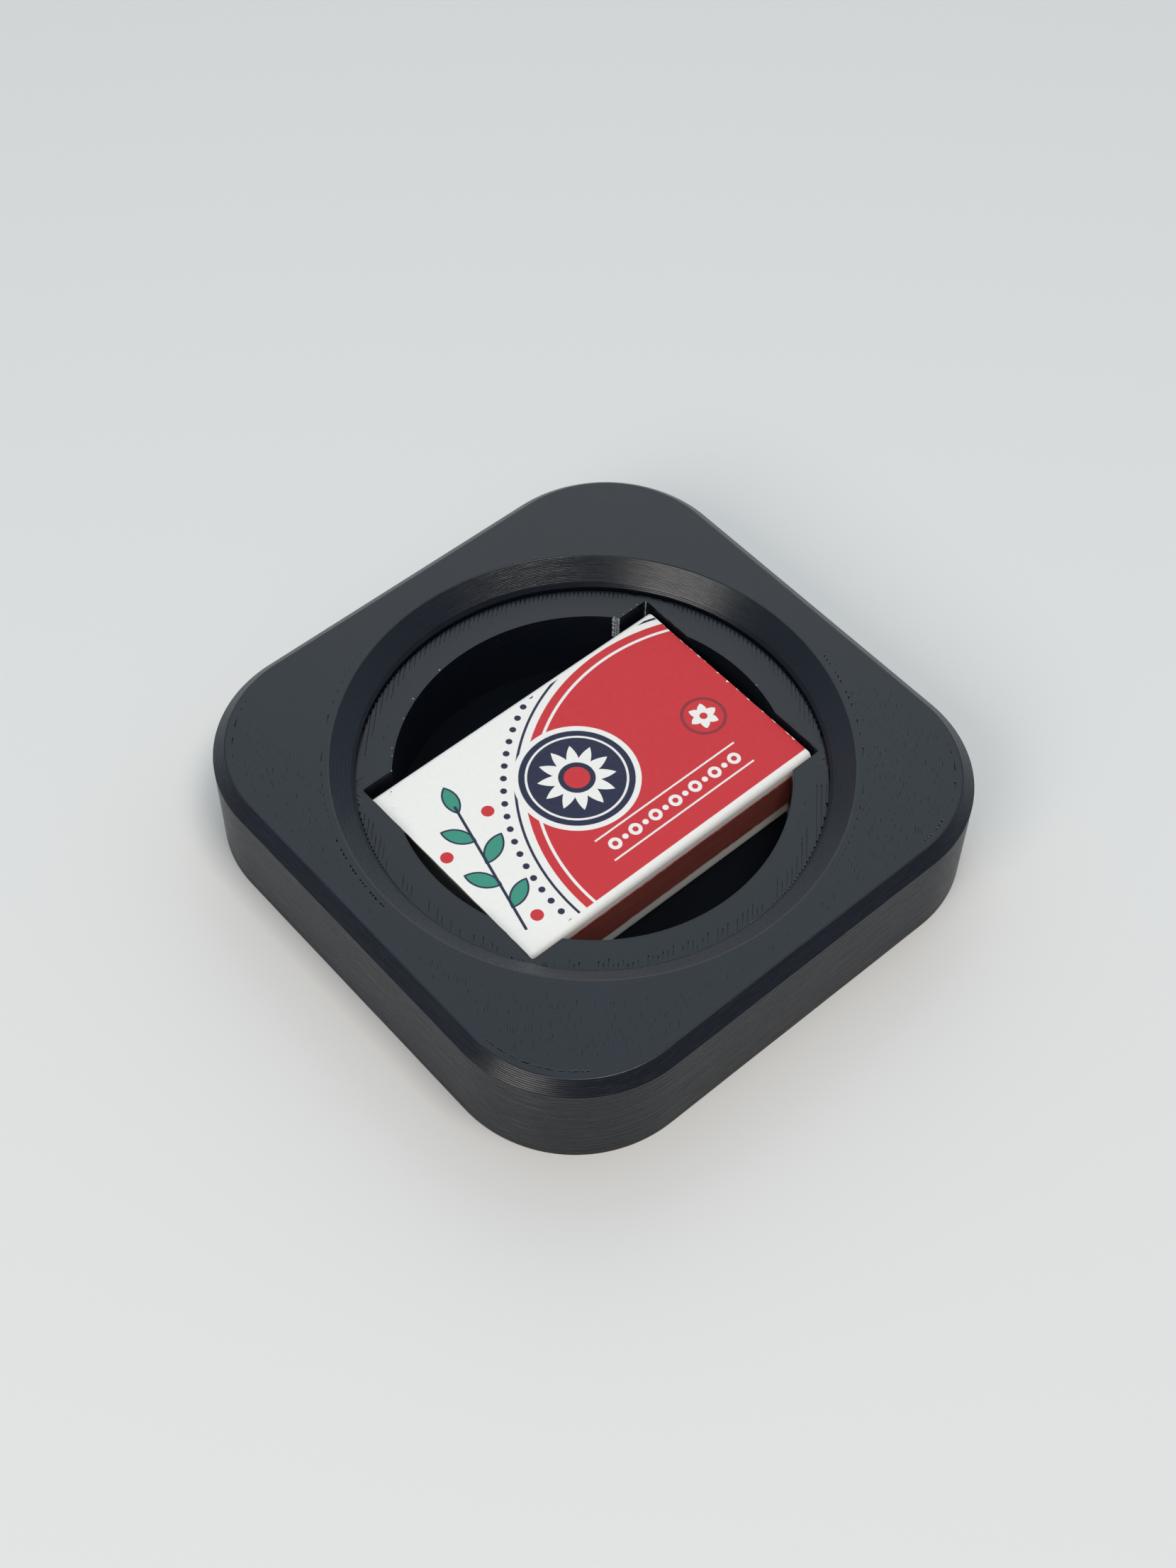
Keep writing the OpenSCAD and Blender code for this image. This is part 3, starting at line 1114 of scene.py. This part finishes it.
def make_holder_core():
    """The block itself, which stands for the solid."""
    core = Build()
    holder_core(core)
    level = (0.12, 0.12, 3.0)
    wall = plastic("holder_wall", roughness=0.3, grain=3.0, stretch=level, relief=0.02)
    # The pocket floor is the same plastic at half its tone and with little gloss: painted shade for the deep
    # recess
    floor = plastic("holder_pocket_painted_shade", roughness=0.6, grain=2.2, stretch=(0.15, 2.5, 2.5), turn=45.0,
                    tone=0.5, specular=0.06)
    slope = plastic("holder_slope", roughness=0.26, grain=3.0, stretch=level, relief=0.012)
    body = core.piece("holder", [wall, floor, slope])
    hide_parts("holder_body")
    return body


def make_flat_lines():
    """The printed lines of the top and the ledge."""
    lines = Build()
    top_lines(lines)
    ledge_lines(lines)
    raster = plastic("holder_lines", roughness=0.37, grain=3.4, stretch=(0.5, 1.8, 1.8), turn=-45.0,
                     relief=0.012)
    return lines.piece("holder_top_lines", [raster], sharp=60.0)


def make_scars():
    """The pale scars, whose colour is partly a painted highlight, and the crumbs."""
    crumbs = Build()
    seam_scars(crumbs)
    stray_specks(crumbs)
    return crumbs.piece("holder_scars", [pale_scar_and_painted_glint()], sharp=60.0)


def make_holder():
    for piece in (make_holder_core(), make_flat_lines(), make_scars()):
        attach(piece, "holder")


# The matchbox

def fold_path(inset):
    """The sleeve's section in Y and Z round its middle, drawn in by inset, with the panel of each point."""
    path = []
    corner = FOLD_R - inset
    flat_w = BOX_HALF_W - FOLD_R
    flat_h = BOX_HALF_H - FOLD_R
    for turn, parts, panel in PANELS:
        cy = flat_w if turn in (0, 270) else -flat_w
        cz = flat_h if turn in (0, 90) else -flat_h
        for degrees in range(turn, turn + 91, FOLD_STEP):
            a = math.radians(degrees)
            path.append((cy + corner * math.cos(a), cz + corner * math.sin(a), "fold"))
        to_y = -flat_w if turn in (0, 90) else flat_w
        to_z = flat_h if turn in (0, 270) else -flat_h
        a = math.radians(turn + 90)
        for i in range(1, parts):
            share = i / parts
            y = cy + (to_y - cy) * share + corner * math.cos(a)
            z = cz + (to_z - cz) * share + corner * math.sin(a)
            path.append((y, z, panel))
    return path


def sleeve_row(x, inset, edges):
    """One ring of the sleeve at x, with the slight swell of its panels and the ragged cut of its ends."""
    row = []
    swell = 1 - (x / BOX_HALF_L) ** 2
    edge = edges[-1 if x < 0 else 1]
    share = max(0.0, abs(x) - (BOX_HALF_L - RAGGED_L)) / RAGGED_L
    for (y, z, panel), ragged in zip(fold_path(inset), edge):
        lift = 0.0
        push = 0.0
        if panel == "top":
            lift = TOP_CROWN * (0.3 + 0.7 * swell) * (1 - (y / BOX_HALF_W) ** 2)
        if panel in ("near", "far"):
            push = SIDE_CROWN * (1 - (z / BOX_HALF_H) ** 2) * (-1 if panel == "near" else 1)
        row.append((BOX_MID[0] + x + ragged * share, BOX_MID[1] + y + push, BOX_MID[2] + z + lift))
    return row


def sleeve_shell(build):
    """The folded card: its outside, then one cut end, its inside and the other cut end."""
    path = fold_path(0.0)
    count = len(path)
    edges = {end: [rng.uniform(-RAGGED, RAGGED) for _ in path] for end in (-1, 1)}
    back = BOX_HALF_L - CUT_BACK
    spread = [BOX_HALF_L * i / 16 for i in range(-15, 16)]
    outside = [-back, -BOX_HALF_L + END_STRIP] + spread + [BOX_HALF_L - END_STRIP, back]
    inside = [back] + [BOX_HALF_L * share for share in (0.8, 0.4, 0.0, -0.4, -0.8)] + [-back]
    rows = [sleeve_row(x, 0.0, edges) for x in outside]
    rows += [sleeve_row(BOX_HALF_L, inset, edges) for inset in (CUT_ROUND, CARD_T - CUT_ROUND)]
    rows += [sleeve_row(x, CARD_T, edges) for x in inside]
    rows += [sleeve_row(-BOX_HALF_L, inset, edges) for inset in (CARD_T - CUT_ROUND, CUT_ROUND)]

    def mark(i, j):
        if i >= len(outside) - 1:
            return INSIDE
        is_top = "top" in (path[j][2], path[(j + 1) % count][2])
        return PRINT if is_top else CARD

    build.rows(rows, mark, ring=True)


def sleeve_lap(build):
    """The lap that is glued to the far side from within, with its edges bevelled."""
    y = BOX_MID[1] + BOX_HALF_W - CARD_T
    z = BOX_MID[2]
    half = LAP_H / 2
    outline = (
        (y - LAP_SUNK, z - half),
        (y - CARD_T + LAP_BEVEL, z - half),
        (y - CARD_T, z - half + LAP_BEVEL),
        (y - CARD_T, z + half - LAP_BEVEL),
        (y - CARD_T + LAP_BEVEL, z + half),
        (y - LAP_SUNK, z + half),
    )
    end = BOX_HALF_L - LAP_SHORT
    rows = []
    for x in (-end, -BOX_HALF_L * 0.5, 0.0, BOX_HALF_L * 0.5, end):
        rows.append([(BOX_MID[0] + x, *point) for point in outline])
    build.capped(rows, INSIDE)


def make_sleeve():
    build = Build()
    sleeve_shell(build)
    sleeve_lap(build)
    materials = [card("sleeve_card", WHITE), printed_card(), card("sleeve_inside", CARD_INSIDE)]
    sleeve = build.piece("sleeve", materials)
    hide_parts("box_sleeve")
    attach(sleeve, "matchbox")


def dress_nodes():
    """Materials of the CAD nodes that stay as they are."""
    strip = striker()
    stick = wood()
    head = match_head()
    # The tray's card is darkened: painted shade inside the sleeve's mouth
    chosen = {"box_tray": card("tray_card", TRAY_CARD_AND_SHADE), "striker_near": strip, "striker_far": strip}
    for layer in ("low", "mid", "top"):
        chosen["match_sticks_" + layer] = stick
        chosen["match_heads_" + layer] = head
    for name, made in chosen.items():
        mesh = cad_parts[name].data
        mesh.materials.clear()
        mesh.materials.append(made)


# The stage. Only the lamps' sides and distance are in metres

FLOOR_HALF = 3000.0
LAMP_DISTANCE = 1.2
SKY_AIM = (0.513, 0.567, 0.643)
SKY = (
    (0.0, (0.10, 0.10, 0.12)),
    (0.5, (0.13, 0.14, 0.17)),
    (0.58, (0.19, 0.21, 0.26)),
    (0.68, (0.29, 0.34, 0.41)),
    (0.79, (0.40, 0.50, 0.58)),
    (0.9, (0.46, 0.59, 0.71)),
    (0.955, (0.51, 0.70, 0.87)),
    (0.982, (1.15, 1.26, 1.3)),
    (1.0, (1.75, 1.76, 1.72)),
)


def make_floor():
    build = Build()
    rows = [[(x, y, 0.0) for x in (-FLOOR_HALF, FLOOR_HALF)] for y in (-FLOOR_HALF, FLOOR_HALF)]
    build.rows(rows, closed=False)
    floor = build.piece("floor", [material("floor", TABLE, 0.9, 0.2)[0]])


def direction(azimuth, elevation):
    """Which way a place lies from the object, as a unit vector."""
    a = math.radians(azimuth)
    e = math.radians(elevation)
    return Vector((math.sin(a) * math.cos(e), -math.cos(a) * math.cos(e), math.sin(e)))


def make_camera():
    a = math.radians(CAM_AZIMUTH)
    roll = math.radians(CAM_ROLL)
    back = direction(CAM_AZIMUTH, CAM_ELEVATION)
    level = Vector((math.cos(a), math.sin(a), 0.0))
    rise = back.cross(level)
    right = level * math.cos(roll) + rise * math.sin(roll)
    up = rise * math.cos(roll) - level * math.sin(roll)
    data = bpy.data.cameras.new("camera")
    data.sensor_width = SENSOR
    data.lens = CAM_FOCAL_PX * SENSOR / PHOTO_LONG_PX
    data.clip_start = 0.01
    data.clip_end = 20.0
    camera = bpy.data.objects.new("camera", data)
    place = (Vector(CAM_AIM) + back * CAM_DISTANCE + right * CAM_ASIDE[0] + up * CAM_ASIDE[1]) * MM
    turn = Matrix((right, up, back)).transposed().to_4x4()
    camera.matrix_world = Matrix.Translation(place) @ turn
    bpy.context.scene.collection.objects.link(camera)
    bpy.context.scene.camera = camera


def soft_lamp(name, azimuth, elevation, side, radiance, color):
    """A square soft lamp that looks at the object and shines with a given radiance. Its side is in metres."""
    back = direction(azimuth, elevation)
    data = bpy.data.lights.new(name, "AREA")
    data.shape = "SQUARE"
    data.size = side
    data.energy = radiance * math.pi * side * side
    data.color = color
    lamp = bpy.data.objects.new(name, data)
    lamp.rotation_mode = "QUATERNION"
    lamp.location = back * LAMP_DISTANCE
    lamp.rotation_quaternion = back.to_track_quat("Z", "Y")
    bpy.context.scene.collection.objects.link(lamp)


def make_lamps():
    """A broad window on the left and a smaller, stronger lamp high up on the box's near side."""
    soft_lamp("window", azimuth=-77, elevation=38, side=0.6, radiance=4.7, color=(1.0, 0.945, 0.88))
    soft_lamp("overhead", azimuth=0, elevation=72, side=0.4, radiance=12.0, color=(1.0, 0.945, 0.87))


def sky_color(tree):
    """The colour of the sky by how close a direction is to the brightest place."""
    place = tree.nodes.new("ShaderNodeTexCoord")
    facing = tree.nodes.new("ShaderNodeVectorMath")
    facing.operation = "DOT_PRODUCT"
    facing.inputs[1].default_value = SKY_AIM
    tree.links.new(place.outputs["Generated"], facing.inputs[0])
    closeness = Field(tree, facing.outputs["Value"]).math("MULTIPLY_ADD", 0.5, 0.5)
    ramp = tree.nodes.new("ShaderNodeValToRGB")
    while len(ramp.color_ramp.elements) < len(SKY):
        ramp.color_ramp.elements.new(0.5)
    for stop, (at, color) in zip(ramp.color_ramp.elements, SKY):
        stop.position = at
        stop.color = (*color, 1.0)
    tree.links.new(closeness.socket, ramp.inputs["Fac"])
    return ramp.outputs["Color"]


def make_world():
    """A soft studio: brightest high up behind the object, dim on the camera's side, pale where it is seen."""
    world = bpy.data.worlds.new("studio")
    bpy.context.scene.world = world
    world.use_nodes = True
    tree = world.node_tree
    shade = tree.nodes["Background"]
    path = tree.nodes.new("ShaderNodeLightPath")
    seen = Field(tree, path.outputs["Is Camera Ray"]).most(Field(tree, path.outputs["Is Transmission Ray"]))
    tree.links.new(painted(tree, sky_color(tree), BACKDROP, seen), shade.inputs["Color"])
    shade.inputs["Strength"].default_value = 1.0


def set_view():
    bpy.context.scene.view_settings.view_transform = "Standard"


make_holder()
make_sleeve()
dress_nodes()
make_floor()
make_camera()
make_lamps()
make_world()
set_view()
